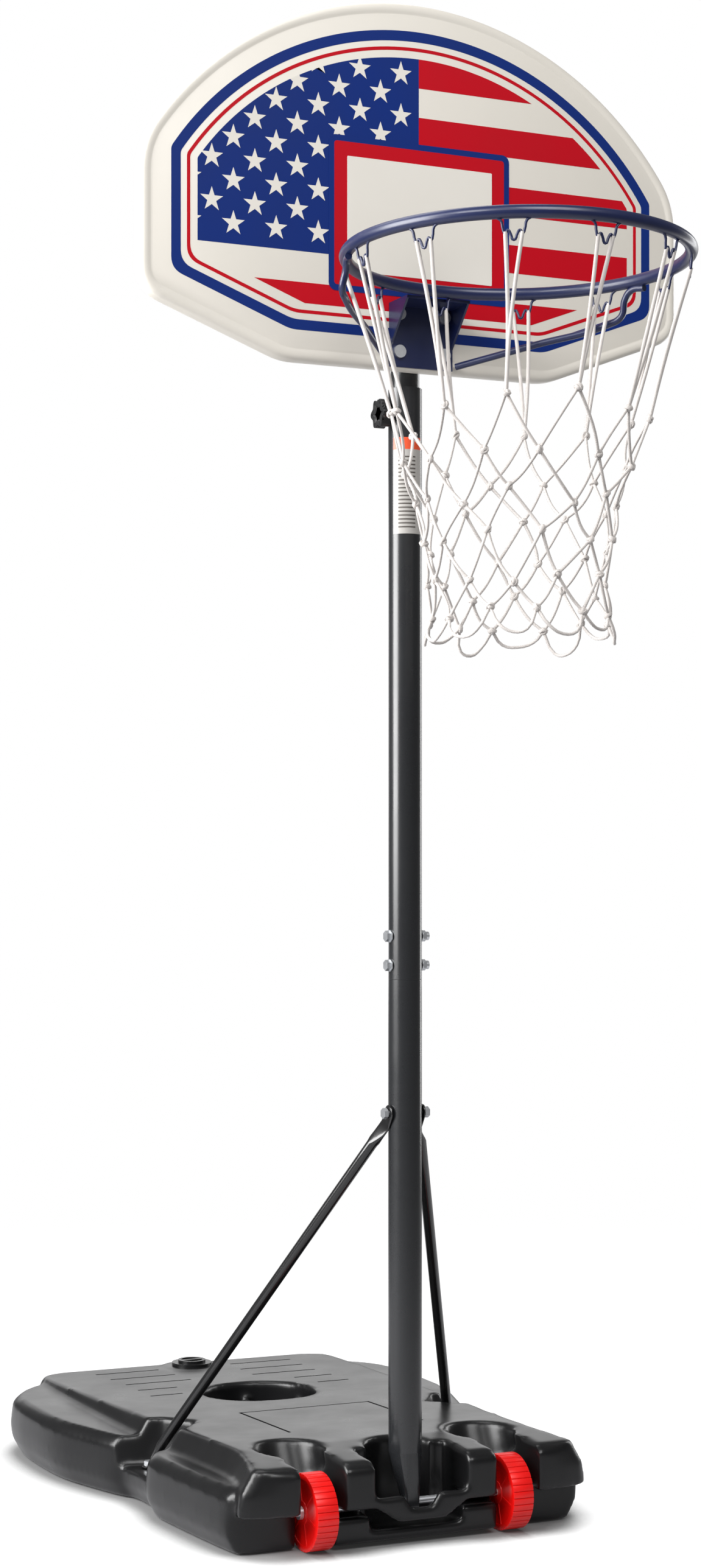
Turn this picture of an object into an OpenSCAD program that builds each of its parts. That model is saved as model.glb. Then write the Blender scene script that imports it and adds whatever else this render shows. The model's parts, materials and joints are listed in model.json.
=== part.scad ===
// Portable basketball hoop: a blow-moulded base tank on two transport wheels, a round
// telescoping pole braced by two struts, and a moulded backboard that carries the rim and net.
// Millimetres, +Z up. The rim points to -Y and the base reaches back to +Y. The origin is the
// middle of the assembly's bottom, on the floor.

/* [Base tank] */
// Height of the deck just behind the pole
deck_front_z = 122; // [110:1:135]
// Height of the deck at its rear edge
deck_rear_z = 96; // [88:1:110]
// Distance from the pole axis to the rear edge of the deck
deck_rear_y = 815; // [780:1:860]
// Distance from the pole axis to the front faces of the four wheel blocks
nose_y = 55; // [50:1:70]
// Half width of the deck at its rear end
deck_half_w = 236; // [225:1:250]
// Half width of the skirt beside the ballast
skirt_half_w = 332; // [310:1:350]
// Height of the ledge on top of the skirt
skirt_z = 84; // [75:1:90]
// Diameter of the round well in the deck
well_d = 172; // [120:1:190]
// Distance from the pole axis to the middle of the well
well_y = 498; // [480:1:520]

/* [Wheels] */
// Outside diameter of a transport wheel
wheel_d = 102; // [96:1:106]
// Width of a transport wheel
wheel_w = 30; // [24:1:34]
// Distance from the middle of the pole to the middle of a wheel
wheel_x = 144; // [140:1:148]
// Diameter of the wheel axle
axle_d = 10; // [8:1:12]
// How far in front of the pole axis the axle runs
axle_y = 17; // [12:1:20]

/* [Pole] */
// Outside diameter of the lower and middle pole
pole_d = 45; // [44:0.5:46]
// Wall of the pole tubes
pole_wall = 1.5; // [1.2:0.1:2]
// Outside diameter of the sliding upper pole
upper_d = 38; // [37:0.5:38.5]
// Height of the seam between the lower and middle pole
seam_z = 747; // [700:1:760]
// Height of the open end of the middle pole
middle_top_z = 1538; // [1500:1:1545]
// Height of the bolt that holds both struts
strut_bolt_z = 568; // [540:1:600]
// Diameter of the strut tubes
strut_d = 15; // [13:1:18]

/* [Backboard] */
// Full width of the backboard
board_w = 792; // [760:1:820]
// Height of the lower edge of the backboard
board_bottom_z = 1555; // [1550:1:1560]
// Height of the crown of the backboard
board_top_z = 2040; // [2010:1:2070]
// Thickness of the backboard
board_t = 22; // [20:1:24]
// Distance from the pole axis to the front face of the backboard
board_y = 45; // [45:1:48]
// Radius of the arched upper edge
board_arc_r = 460; // [440:5:500]

/* [Rim and net] */
// Radius of the rim to the middle of its tube
rim_r = 212; // [200:1:220]
// Diameter of the rim tube
rim_tube_d = 16; // [14:1:18]
// Height of the rim above the floor at the lowest setting
rim_z = 1649; // [1645:1:1655]
// Clear gap between the backboard and the back of the rim
rim_gap = 46; // [40:1:60]
// Number of net hooks
hook_count = 12; // [8:1:12]
// Height of the lowest point of the net
net_bottom_z = 1180; // [1150:5:1250]

/* [Hidden] */
$fn = 64;

rim_y = board_y + rim_gap + rim_tube_d / 2 + rim_r;
front_y = -(rim_y + rim_r + rim_tube_d / 2);
skirt_rear_y = deck_rear_y + 15;
mid_y = (skirt_rear_y + front_y) / 2;

steel = "silver";
powder = [0.20, 0.20, 0.21];
hdpe = [0.10, 0.10, 0.11];
navy = [0.10, 0.15, 0.31];

wheel_r = wheel_d / 2;
bay_half_w = 32;
bay_rear_y = 55;
block_bottom_z = 54;
axle_len = 2 * (wheel_x + wheel_w / 2 + 16);
axle_gap = 0.06;
notch_floor_z = 46;
strut_foot = [242, 328, notch_floor_z];
cavity_floor_z = 14;
cavity_top_z = 74;
well_floor_z = 34;
neck_d = 50;
neck_y = deck_rear_y - 43;
neck_z = deck_rear_z + 1;
cap_d = 64;
cap_h = 6;

pole_bore = pole_d - 2 * pole_wall;
swage_d = pole_bore - 0.1;
swage_top_z = seam_z + 95;
taper_z = 115;
pole_bolt_z = [766, 805];
bolt_d = 8;
hole_d = 8.4;
upper_bottom_z = 905;
upper_top_z = 1880;
bush_h = 60;
slide_gap = 0.06;
knob_z = 1503;
knob_boss_l = 4;
knob_out = 19;

board_back_y = board_y - board_t;
bracket_t = board_back_y - upper_d / 2;
strap_t = 4;
rim_bolt_x = 33;
rim_bolt_z = [1577, 1627];
rim_plate_t = 4;
rim_plate_half_w = 46;
rim_plate_top_z = rim_z - rim_tube_d / 2;
upper_strap_z = 1800;
hook_r = 9;
hook_wire_d = 3.4;
brace_d = 9;

// Moves a shape drawn about the pole axis into the assembly's own frame.
module framed() {
    translate([0, -mid_y, 0]) children();
}

module both_sides() {
    children();
    mirror([1, 0, 0]) children();
}

// Cylinders whose axes run along X or along Y, starting at the given point.
module bar_x(p, d, l) {
    translate(p) rotate([0, 90, 0]) cylinder(h = l, d = d);
}

module bar_y(p, d, l) {
    translate(p) rotate([-90, 0, 0]) cylinder(h = l, d = d);
}

// A hexagon head or nut along X or along Y, across flats af.
module hex_x(p, af, h) {
    translate(p) rotate([0, 90, 0]) cylinder(h = h, d = af / cos(30), $fn = 6);
}

module hex_y(p, af, h) {
    translate(p) rotate([-90, 0, 0]) cylinder(h = h, d = af / cos(30), $fn = 6);
}

// The outline of the deck, widening from the wheel blocks to the rear corners.
module deck_plan() {
    half = [
        [0, -nose_y], [240, -nose_y], [214, 62], [226, 260], [232, 420],
        [deck_half_w, deck_rear_y - 35], [175, deck_rear_y], [0, deck_rear_y]
    ];
    both_sides() polygon(half);
}

// The outline of the skirt under the deck: front blocks, strut notches and wide rear flanks.
module skirt_plan() {
    half = [
        [0, -12], [255, -12], [266, 0], [286, 205], [284, 238], [270, 252], [272, 344],
        [288, 362], [322, 470], [skirt_half_w, 520], [skirt_half_w, 690], [300, 752],
        [200, skirt_rear_y], [0, skirt_rear_y]
    ];
    both_sides() polygon(half);
}

// The deck seen from the side: a sloping nose, then a long slope down to the rear.
module deck_side(from_z) {
    translate([-300, 0, 0]) rotate([90, 0, 90])
        linear_extrude(600)
            polygon([
                [-nose_y, from_z], [-nose_y, 110], [-nose_y + 8, 116], [62, deck_front_z],
                [deck_rear_y, deck_rear_z], [deck_rear_y, from_z]
            ]);
}

module wheel_bay() {
    translate([wheel_x - bay_half_w, -nose_y - 10, -1])
        cube([2 * bay_half_w, bay_rear_y + nose_y + 10, 160]);
    translate([wheel_x, bay_rear_y, -1]) cylinder(h = 160, r = bay_half_w);
}

module pole_bay() {
    translate([-68, -41, 22]) cube([136, 62, 160]);
    translate([0, 21, 22]) cylinder(h = 160, r = 46);
    translate([-68, -nose_y - 10, 67]) cube([136, 30, 160]);
    translate([0, -nose_y - 10, 0]) rotate([-90, 0, 0])
        linear_extrude(30) polygon([[-24, -68], [-15, -50], [15, -50], [24, -68]]);
}

module strut_notch() {
    translate([0, 0, notch_floor_z])
        linear_extrude(160)
            polygon([[186, 300], [214, 262], [300, 236], [400, 236], [400, 362], [288, 362], [222, 338]]);
}

// The hollow of the tank, clear of the well, the notches and the wheel bays.
module cavity(floor_z, top_z) {
    translate([0, 0, floor_z])
        linear_extrude(top_z - floor_z)
            difference() {
                both_sides() polygon([
                    [0, 110], [205, 110], [205, 228], [176, 256], [172, 340], [206, 352],
                    [262, 376], [318, 525], [318, 684], [290, 742], [196, 814], [0, 814]
                ]);
                translate([0, well_y]) circle(d = well_d + 14);
            }
}

module base_tank() {
    framed() color(hdpe) difference() {
        union() {
            intersection() {
                linear_extrude(200) deck_plan();
                deck_side(block_bottom_z);
            }
            linear_extrude(skirt_z) skirt_plan();
            translate([-112, -nose_y, 16]) cube([224, 44, 60]);
        }
        both_sides() wheel_bay();
        both_sides() strut_notch();
        pole_bay();
        translate([0, well_y, well_floor_z]) cylinder(h = 160, d = well_d);
        cavity(cavity_floor_z, cavity_top_z);
        translate([0, neck_y, cavity_top_z - 1]) cylinder(h = 60, d = neck_d);
        translate([0, neck_y, neck_z]) cylinder(h = 60, d = cap_d + 3);
        bar_x([-axle_len / 2 - 1, -axle_y, wheel_r], axle_d, axle_len + 2);
        both_sides() translate([strut_foot.x, strut_foot.y, 16]) cylinder(h = 60, d = bolt_d);
    }
}

// The water or sand that holds the tank down.
module ballast_fill() {
    framed() color([0.55, 0.68, 0.75]) cavity(cavity_floor_z, cavity_top_z - 8);
}

module filler_cap() {
    framed() color(hdpe) translate([0, neck_y, neck_z + 1.5]) {
        cylinder(h = cap_h, d = cap_d);
        translate([0, 0, cap_h]) difference() {
            cylinder(h = 4, d = 44);
            translate([0, 0, 1]) cylinder(h = 4, d = 34);
        }
        translate([-17, -3, cap_h]) cube([34, 6, 4]);
        translate([0, 0, -14]) cylinder(h = 14, d = neck_d - 2);
    }
}

module cap_gasket() {
    framed() color("dimgray") translate([0, neck_y, neck_z]) difference() {
        cylinder(h = 1.5, d = cap_d - 2);
        translate([0, 0, -1]) cylinder(h = 4, d = neck_d);
    }
}

module wheel_axle() {
    framed() color(steel) bar_x([-axle_len / 2, -axle_y, wheel_r], axle_d, axle_len);
}

// Pressed cups that keep each wheel against its block.
module axle_retainers() {
    framed() color(steel) both_sides() difference() {
        bar_x([wheel_x + wheel_w / 2 + 1, -axle_y, wheel_r], 18, 5);
        bar_x([wheel_x + wheel_w / 2, -axle_y, wheel_r], axle_d, 8);
    }
}

// A spoked moulded wheel: tread, web and hub, turned about the axle.
module wheel(x) {
    framed() color("red") translate([x, -axle_y, wheel_r]) rotate([0, 90, 0])
        difference() {
            rotate_extrude($fn = 96) polygon([
                [axle_d / 2 + axle_gap, -wheel_w / 2], [11, -wheel_w / 2], [12, -wheel_w / 2 + 4],
                [wheel_r - 9, -wheel_w / 2 + 4], [wheel_r - 8, -wheel_w / 2],
                [wheel_r - 1.5, -wheel_w / 2], [wheel_r, -wheel_w / 2 + 1.5],
                [wheel_r, wheel_w / 2 - 1.5], [wheel_r - 1.5, wheel_w / 2],
                [wheel_r - 8, wheel_w / 2], [wheel_r - 9, wheel_w / 2 - 4],
                [12, wheel_w / 2 - 4], [11, wheel_w / 2], [axle_d / 2 + axle_gap, wheel_w / 2]
            ]);
        }
}

module wheel_left() { wheel(-wheel_x); }

module wheel_right() { wheel(wheel_x); }

// Lower tube: pressed to a foot that holds the axle, and swaged at the top to enter the next.
module lower_pole() {
    framed() color(powder) difference() {
        union() {
            translate([0, 0, taper_z]) cylinder(h = seam_z - taper_z, d = pole_d);
            translate([0, 0, seam_z]) cylinder(h = swage_top_z - seam_z, d = swage_d);
            hull() {
                translate([0, 0, taper_z]) cylinder(h = 1, d = pole_d, $fn = 32);
                bar_x([-8, -axle_y, wheel_r - 4], 18, 16, $fn = 32);
            }
        }
        translate([0, 0, taper_z + 6]) cylinder(h = 900, d = pole_bore - 4);
        bar_x([-40, -axle_y, wheel_r], axle_d, 80);
        bar_x([-40, 0, strut_bolt_z], hole_d, 80);
        for (z = pole_bolt_z) bar_x([-40, 0, z], hole_d, 80);
    }
}

module middle_pole() {
    framed() color(powder) difference() {
        translate([0, 0, seam_z]) cylinder(h = middle_top_z - seam_z, d = pole_d);
        translate([0, 0, seam_z - 1]) cylinder(h = middle_top_z - seam_z + 2, d = pole_bore);
        for (z = pole_bolt_z) bar_x([-40, 0, z], hole_d, 80);
        bar_x([-40, 0, knob_z], 10.4, 40);
    }
}

// Sliding tube that carries the backboard.
module upper_pole() {
    framed() color(powder) difference() {
        translate([0, 0, upper_bottom_z]) cylinder(h = upper_top_z - upper_bottom_z, d = upper_d);
        translate([0, 0, upper_bottom_z - 1])
            cylinder(h = upper_top_z - upper_bottom_z + 2, d = upper_d - 2 * pole_wall);
    }
}

// Plastic liner that centres the upper pole in the middle pole.
module guide_bush() {
    framed() color("dimgray") difference() {
        translate([0, 0, middle_top_z - bush_h]) cylinder(h = bush_h, d = pole_bore);
        translate([0, 0, middle_top_z - bush_h - 1]) cylinder(h = bush_h + 2, d = upper_d + 2 * slide_gap);
        bar_x([-40, 0, knob_z], 10.4, 40);
    }
}

module upper_pole_plug() {
    framed() color(hdpe) {
        translate([0, 0, upper_top_z]) cylinder(h = 4, d = upper_d);
        translate([0, 0, upper_top_z - 15]) cylinder(h = 15, d = upper_d - 2 * pole_wall);
    }
}

// Threaded boss welded to the middle pole for the clamp knob.
module clamp_nut() {
    framed() color(powder) difference() {
        bar_x([-pole_d / 2 - knob_boss_l + 3, 0, knob_z], 20, knob_boss_l);
        bar_x([-pole_d / 2 - knob_boss_l, 0, knob_z], 10.12, knob_boss_l + 10);
        translate([0, 0, knob_z - 20]) cylinder(h = 40, d = pole_d);
    }
}

module height_knob() {
    framed() color(hdpe) difference() {
        union() {
            bar_x([-pole_d / 2 - knob_out, 0, knob_z], 34, 14);
            for (i = [0:5])
                bar_x([-pole_d / 2 - knob_out, 15 * cos(60 * i), knob_z + 15 * sin(60 * i)], 13, 14);
            bar_x([-pole_d / 2 - knob_out + 14, 0, knob_z], 20, 3);
        }
        bar_x([-pole_d / 2 - knob_out + 6, 0, knob_z], 10, 20);
    }
}

module knob_stud() {
    framed() color(steel)
        bar_x([-pole_d / 2 - knob_out + 6, 0, knob_z], 10, pole_d / 2 - upper_d / 2 + knob_out - 6);
}

module pole_bolts() {
    framed() color(steel) for (z = pole_bolt_z) {
        hex_x([-pole_d / 2 - 7, 0, z], 13, 5.5);
        bar_x([-pole_d / 2 - 1.5, 0, z], bolt_d, pole_d + 7);
    }
}

module pole_bolt_washers() {
    framed() color(steel) for (z = pole_bolt_z) {
        difference() {
            union() {
                bar_x([-pole_d / 2 - 1.5, 0, z], 17, 1.5);
                bar_x([pole_d / 2, 0, z], 17, 1.5);
            }
            bar_x([-40, 0, z], bolt_d, 80);
        }
    }
}

module pole_bolt_nuts() {
    framed() color(steel) for (z = pole_bolt_z) difference() {
        union() {
            hex_x([pole_d / 2 + 1.5, 0, z], 13, 5.5);
            bar_x([pole_d / 2 + 7, 0, z], 11.5, 4.5);
        }
        bar_x([pole_d / 2 + 1, 0, z], bolt_d, 4.5);
    }
}

// One strut: a tube with a flat eye at the pole and a flat foot in the base's notch.
module strut() {
    eye = [pole_d / 2 + 0.2, 0, strut_bolt_z];
    upper_end = [pole_d / 2 + 14, 26, strut_bolt_z - 42];
    lower_end = [strut_foot.x - 14, strut_foot.y - 12, notch_floor_z + 34];
    framed() color(hdpe) difference() {
        union() {
            bar_x(eye, 24, 5);
            hull() {
                bar_x(eye, 22, 5, $fn = 24);
                translate(upper_end) sphere(d = strut_d, $fn = 20);
            }
            hull() {
                translate(upper_end) sphere(d = strut_d, $fn = 20);
                translate(lower_end) sphere(d = strut_d, $fn = 20);
            }
            hull() {
                translate(lower_end) sphere(d = strut_d, $fn = 20);
                translate(strut_foot) cylinder(h = 5, d = 22, $fn = 24);
            }
        }
        bar_x([eye.x - 1, 0, eye.z], hole_d, 7);
        translate([strut_foot.x, strut_foot.y, strut_foot.z - 1]) cylinder(h = 12, d = hole_d);
        translate([strut_foot.x, strut_foot.y, strut_foot.z + 5]) cylinder(h = 12, d = 19);
        bar_x([eye.x + 5, 0, eye.z], 19, 12);
    }
}

module strut_right() { strut(); }

module strut_left() { mirror([1, 0, 0]) strut(); }

module strut_bolt() {
    framed() color(steel) {
        hex_x([-pole_d / 2 - 10.8, 0, strut_bolt_z], 13, 5.5);
        bar_x([-pole_d / 2 - 5.3, 0, strut_bolt_z], bolt_d, pole_d + 17);
    }
}

module strut_nut() {
    framed() color(steel) difference() {
        hex_x([pole_d / 2 + 5.3, 0, strut_bolt_z], 13, 6.5);
        bar_x([pole_d / 2 + 5, 0, strut_bolt_z], bolt_d, 8);
    }
}

module strut_foot_bolts() {
    framed() color(steel) both_sides() translate([strut_foot.x, strut_foot.y, 0]) {
        translate([0, 0, 20]) cylinder(h = notch_floor_z - 15, d = bolt_d);
        translate([0, 0, notch_floor_z + 5]) cylinder(h = 5.5, d = 13 / cos(30), $fn = 6);
    }
}

// The arched outline of the board, with its sloping lower corners.
module board_plan() {
    intersection() {
        translate([0, board_top_z - board_arc_r]) circle(r = board_arc_r, $fn = 180);
        both_sides() polygon([
            [0, board_bottom_z], [184, board_bottom_z], [212, board_bottom_z + 6],
            [345, board_bottom_z + 56], [375, board_bottom_z + 68], [390, board_bottom_z + 80],
            [board_w / 2, board_bottom_z + 96], [board_w / 2, board_top_z], [0, board_top_z]
        ]);
    }
}

module backboard() {
    framed() color([0.88, 0.86, 0.82]) difference() {
        translate([0, -board_back_y, 0]) rotate([90, 0, 0]) linear_extrude(board_t) board_plan();
        for (x = [-rim_bolt_x, rim_bolt_x], z = rim_bolt_z) bar_y([x, -board_y - 1, z], hole_d, board_t + 2);
        for (x = [-30, 30]) bar_y([x, -board_back_y - 14, upper_strap_z], 6, 15);
    }
}

// Plate between the back of the board and the upper pole.
module rear_bracket() {
    framed() color(powder) difference() {
        translate([-48, -board_back_y, board_bottom_z + 3]) cube([96, bracket_t, 86]);
        for (x = [-rim_bolt_x, rim_bolt_x], z = rim_bolt_z) bar_y([x, -board_back_y - 1, z], hole_d, bracket_t + 2);
    }
}

// Two straps behind the upper pole that the rim bolts pull tight.
module rear_straps() {
    framed() color(powder) for (z = rim_bolt_z) difference() {
        translate([-45, upper_d / 2, z - 8]) cube([90, strap_t, 16]);
        for (x = [-rim_bolt_x, rim_bolt_x]) bar_y([x, upper_d / 2 - 1, z], hole_d, strap_t + 2);
    }
}

// Hat-shaped strap that holds the upper pole against the board.
module upper_strap() {
    framed() color(powder) translate([0, 0, upper_strap_z]) difference() {
        union() {
            translate([0, 0, -12]) difference() {
                union() {
                    cylinder(h = 24, d = upper_d + 6);
                    translate([-upper_d / 2 - 3, -board_back_y, 0]) cube([upper_d + 6, board_back_y, 24]);
                }
                translate([0, 0, -1]) cylinder(h = 26, d = upper_d);
                translate([-upper_d / 2, -board_back_y - 1, -1]) cube([upper_d, board_back_y + 1, 26]);
            }
            both_sides() translate([upper_d / 2 + 0.5, -board_back_y, -12]) cube([20, 3, 24]);
        }
        for (x = [-30, 30]) bar_y([x, -board_back_y - 1, 0], 6.4, 6);
    }
}

module upper_strap_screws() {
    framed() color(steel) for (x = [-30, 30]) {
        bar_y([x, -board_back_y - 13, upper_strap_z], 6, 16);
        hex_y([x, -board_back_y + 3, upper_strap_z], 9, 4);
    }
}

module rim_ring() {
    framed() color(navy) translate([0, -rim_y, rim_z])
        rotate_extrude($fn = 128) translate([rim_r, 0]) circle(d = rim_tube_d, $fn = 32);
}

// Plate on the board with a shelf, notched for a net hook, and two gussets that carry the rim.
module rim_bracket() {
    shelf_l = rim_gap + rim_tube_d / 2;
    framed() color(navy) difference() {
        union() {
            translate([-rim_plate_half_w, -board_y - rim_plate_t, board_bottom_z + 2])
                cube([2 * rim_plate_half_w, rim_plate_t, rim_plate_top_z - board_bottom_z - 2]);
            translate([-rim_plate_half_w, -board_y - shelf_l, rim_plate_top_z - 4])
                cube([2 * rim_plate_half_w, shelf_l, 4]);
            both_sides() translate([rim_plate_half_w - 3, -board_y - rim_plate_t, 0])
                rotate([0, 90, 0]) rotate([0, 0, 90]) linear_extrude(3)
                    polygon([
                        [0, rim_plate_top_z - 4], [-shelf_l + 6, rim_plate_top_z - 4],
                        [0, board_bottom_z + 30]
                    ]);
        }
        for (x = [-rim_bolt_x, rim_bolt_x], z = rim_bolt_z) bar_y([x, -board_y - 6, z], hole_d, 8);
        translate([-13, -board_y - shelf_l - 1, rim_plate_top_z - 6]) cube([26, 7, 8]);
    }
}

// Steel rod from the foot of the bracket out to the side of the rim.
module rim_brace() {
    reach = 71;
    rim_end = [rim_r * sin(reach), -rim_y + rim_r * cos(reach), rim_z - rim_tube_d / 2 - brace_d / 2];
    points = [
        [rim_plate_half_w + brace_d / 2, -board_y - brace_d / 2, board_bottom_z + 8],
        rim_end + [-3, 19, -36],
        rim_end + [-1, 6, -12],
        rim_end
    ];
    framed() color(navy) for (i = [0:2]) hull() {
        translate(points[i]) sphere(d = brace_d, $fn = 16);
        translate(points[i + 1]) sphere(d = brace_d, $fn = 16);
    }
}

module rim_brace_right() { rim_brace(); }

module rim_brace_left() { mirror([1, 0, 0]) rim_brace(); }

// Half rings of wire welded under the rim to carry the net.
module net_hooks() {
    framed() color(navy) for (i = [0:hook_count - 1])
        translate([0, -rim_y, rim_z - rim_tube_d / 2]) rotate([0, 0, i * 360 / hook_count])
            translate([rim_r, 0, 0]) rotate([0, 0, 90]) rotate([90, 0, 0])
                rotate([0, 0, 180]) rotate_extrude(angle = 180, $fn = 24)
                    translate([hook_r, 0]) circle(d = hook_wire_d, $fn = 16);
}

module rim_bolts() {
    framed() color(steel) for (x = [-rim_bolt_x, rim_bolt_x], z = rim_bolt_z) {
        bar_y([x, -board_y - rim_plate_t - 4, z], 17, 4);
        bar_y([x, -board_y - rim_plate_t, z], bolt_d, board_y + rim_plate_t + upper_d / 2 + strap_t + 9);
    }
}

module rim_bolt_nuts() {
    framed() color(steel) for (x = [-rim_bolt_x, rim_bolt_x], z = rim_bolt_z) difference() {
        hex_y([x, upper_d / 2 + strap_t, z], 13, 6.5);
        bar_y([x, upper_d / 2 + strap_t - 1, z], bolt_d, 9);
    }
}

// The net's hanging shape: a thin tapering sleeve, open at both ends.
module net() {
    wall = 4;
    top_z = rim_z - rim_tube_d / 2 - hook_r - hook_wire_d / 2 - 0.5;
    drop = top_z - net_bottom_z;
    outer = [
        [rim_r - 4, top_z], [rim_r - 30, top_z - 0.18 * drop], [rim_r - 54, top_z - 0.36 * drop],
        [rim_r - 74, top_z - 0.54 * drop], [rim_r - 90, top_z - 0.74 * drop],
        [rim_r - 92, top_z - 0.87 * drop], [rim_r - 84, net_bottom_z]
    ];
    last = len(outer) - 1;
    inner = [for (i = [0:last]) outer[last - i] - [wall, 0]];
    framed() color("white") translate([0, -rim_y, 0]) rotate_extrude($fn = 72) polygon(concat(outer, inner));
}

base_tank();
ballast_fill();
filler_cap();
cap_gasket();
wheel_axle();
axle_retainers();
wheel_left();
wheel_right();
lower_pole();
middle_pole();
upper_pole();
guide_bush();
upper_pole_plug();
clamp_nut();
height_knob();
knob_stud();
pole_bolts();
pole_bolt_washers();
pole_bolt_nuts();
strut_left();
strut_right();
strut_bolt();
strut_nut();
strut_foot_bolts();
backboard();
rear_bracket();
rear_straps();
upper_strap();
upper_strap_screws();
rim_ring();
rim_bracket();
rim_brace_left();
rim_brace_right();
net_hooks();
rim_bolts();
rim_bolt_nuts();
net();
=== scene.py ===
# %% [markdown]
# # A portable basketball hoop
# The hoop stands on a black blow-moulded tank with two red wheels. A steel pole, braced by two
# struts, carries a moulded board with a printed face, a steel rim and a knotted cord net.
# The mechanical parts come from the CAD frame. This lesson models the pieces whose look needs
# more than a CAD solid gives, and gives every piece its material.

# %% Load the frame
import bpy
import json
import math
import random
from mathutils import Matrix, Vector


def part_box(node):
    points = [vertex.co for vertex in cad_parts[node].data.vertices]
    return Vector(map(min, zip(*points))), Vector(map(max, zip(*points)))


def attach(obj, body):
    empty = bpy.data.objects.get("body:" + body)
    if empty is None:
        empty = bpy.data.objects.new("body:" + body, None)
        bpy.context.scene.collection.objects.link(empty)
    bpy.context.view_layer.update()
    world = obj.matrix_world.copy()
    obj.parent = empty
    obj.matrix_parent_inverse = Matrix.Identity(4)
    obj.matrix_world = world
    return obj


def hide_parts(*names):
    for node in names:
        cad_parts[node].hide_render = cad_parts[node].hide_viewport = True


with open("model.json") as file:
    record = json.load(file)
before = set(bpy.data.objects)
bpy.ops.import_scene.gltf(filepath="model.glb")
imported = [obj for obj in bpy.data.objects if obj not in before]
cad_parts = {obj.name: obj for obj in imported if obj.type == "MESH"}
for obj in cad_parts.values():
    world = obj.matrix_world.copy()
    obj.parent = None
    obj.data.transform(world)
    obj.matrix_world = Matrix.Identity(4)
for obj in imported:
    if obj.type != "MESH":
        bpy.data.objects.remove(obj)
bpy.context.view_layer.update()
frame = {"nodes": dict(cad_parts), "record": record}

MM = 0.001

# %% [markdown]
# ## Measures taken from the frame
# The main places come from the boxes of the CAD nodes: the pole's axis, the rim's circle, the
# board's front face and the wheels' axle. Smaller features have typed measures, many of them
# set one by one, which stand beside the code that uses them.

# %% Places
pole_low, pole_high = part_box("middle_pole")
POLE_Y = (pole_low[1] + pole_high[1]) / 2
POLE_R = (pole_high[0] - pole_low[0]) / 2
ring_low, ring_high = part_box("rim_ring")
TUBE_R = (ring_high[2] - ring_low[2]) / 2
RING_R = (ring_high[0] - ring_low[0]) / 2 - TUBE_R
RING_Z = (ring_high[2] + ring_low[2]) / 2
RING_Y = (ring_high[1] + ring_low[1]) / 2
board_low, board_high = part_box("backboard")
BOARD_FACE_Y = board_low[1]
BOARD_T = board_high[1] - board_low[1]
BOARD_BOTTOM = board_low[2]
BOARD_TOP = board_high[2]
BOARD_HALF = board_high[0]
ARC_R = 460 * MM
ARC_Z = BOARD_TOP - ARC_R
wheel_low, wheel_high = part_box("wheel_right")
WHEEL_R = (wheel_high[2] - wheel_low[2]) / 2
WHEEL_W = wheel_high[0] - wheel_low[0]
WHEEL_X = (wheel_high[0] + wheel_low[0]) / 2
AXLE_Y = (wheel_high[1] + wheel_low[1]) / 2
AXLE_Z = (wheel_high[2] + wheel_low[2]) / 2
knob_low, knob_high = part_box("height_knob")
print("rim radius", round(RING_R, 4), "wheel radius", round(WHEEL_R, 4))

# %% [markdown]
# ## Helpers for modelling
# An operator acts on whatever is selected, so each step starts from a clean selection. A
# finished piece keeps its place in its mesh and its object at the origin.

# %% Selection and finishing
def pick(*objects):
    """Selects these objects only and makes the last one active."""
    bpy.ops.object.select_all(action="DESELECT")
    for one in objects:
        one.select_set(True)
    bpy.context.view_layer.objects.active = objects[-1]


def settle(piece, name, body, material, slot, *replaced):
    """Names a finished piece, puts its place in its mesh and gives it its body and finish."""
    pick(piece)
    bpy.ops.object.transform_apply(location=True, rotation=True, scale=True)
    piece.name = name
    piece.data.materials.clear()
    piece.data.materials.append(material)
    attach(piece, body)
    if replaced:
        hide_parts(*replaced)
    return piece


def smooth(piece, angle=35):
    pick(piece)
    bpy.ops.object.shade_smooth_by_angle(angle=math.radians(angle))


def apply_modifier(piece, kind, **settings):
    """Adds one modifier with its settings and applies it."""
    pick(piece)
    modifier = piece.modifiers.new(kind.title(), kind)
    for key, value in settings.items():
        setattr(modifier, key, value)
    bpy.ops.object.modifier_apply(modifier=modifier.name)


def select_faces(piece, wanted):
    """Selects the faces whose centre and normal pass the test, and leaves edit mode on."""
    pick(piece)
    bpy.ops.object.mode_set(mode="EDIT")
    bpy.ops.mesh.select_all(action="DESELECT")
    bpy.ops.object.mode_set(mode="OBJECT")
    for face in piece.data.polygons:
        face.select = wanted(face.center, face.normal)
    bpy.ops.object.mode_set(mode="EDIT")
    bpy.ops.mesh.select_mode(type="FACE")


def object_mode():
    bpy.ops.object.mode_set(mode="OBJECT")


# %% [markdown]
# A sheet cut to an outline and pulled out in edit mode makes any prism. A loft joins
# outlines of equal point count, which gives the sloping flanks of a blow-moulded tank.

# %% Prisms and lofts
def sheet_mesh(name, points, faces):
    mesh = bpy.data.meshes.new(name)
    mesh.from_pydata([tuple(p) for p in points], [], faces)
    piece = bpy.data.objects.new(name, mesh)
    bpy.context.collection.objects.link(piece)
    return piece


def prism(name, outline, pull):
    """A flat outline of 3-D points, extruded by the vector pull."""
    piece = sheet_mesh(name, outline, [list(range(len(outline)))])
    pick(piece)
    bpy.ops.object.mode_set(mode="EDIT")
    bpy.ops.mesh.select_all(action="SELECT")
    bpy.ops.mesh.extrude_region_move(TRANSFORM_OT_translate={"value": pull})
    bpy.ops.mesh.select_all(action="SELECT")
    bpy.ops.mesh.normals_make_consistent(inside=False)
    object_mode()
    return piece


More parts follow.
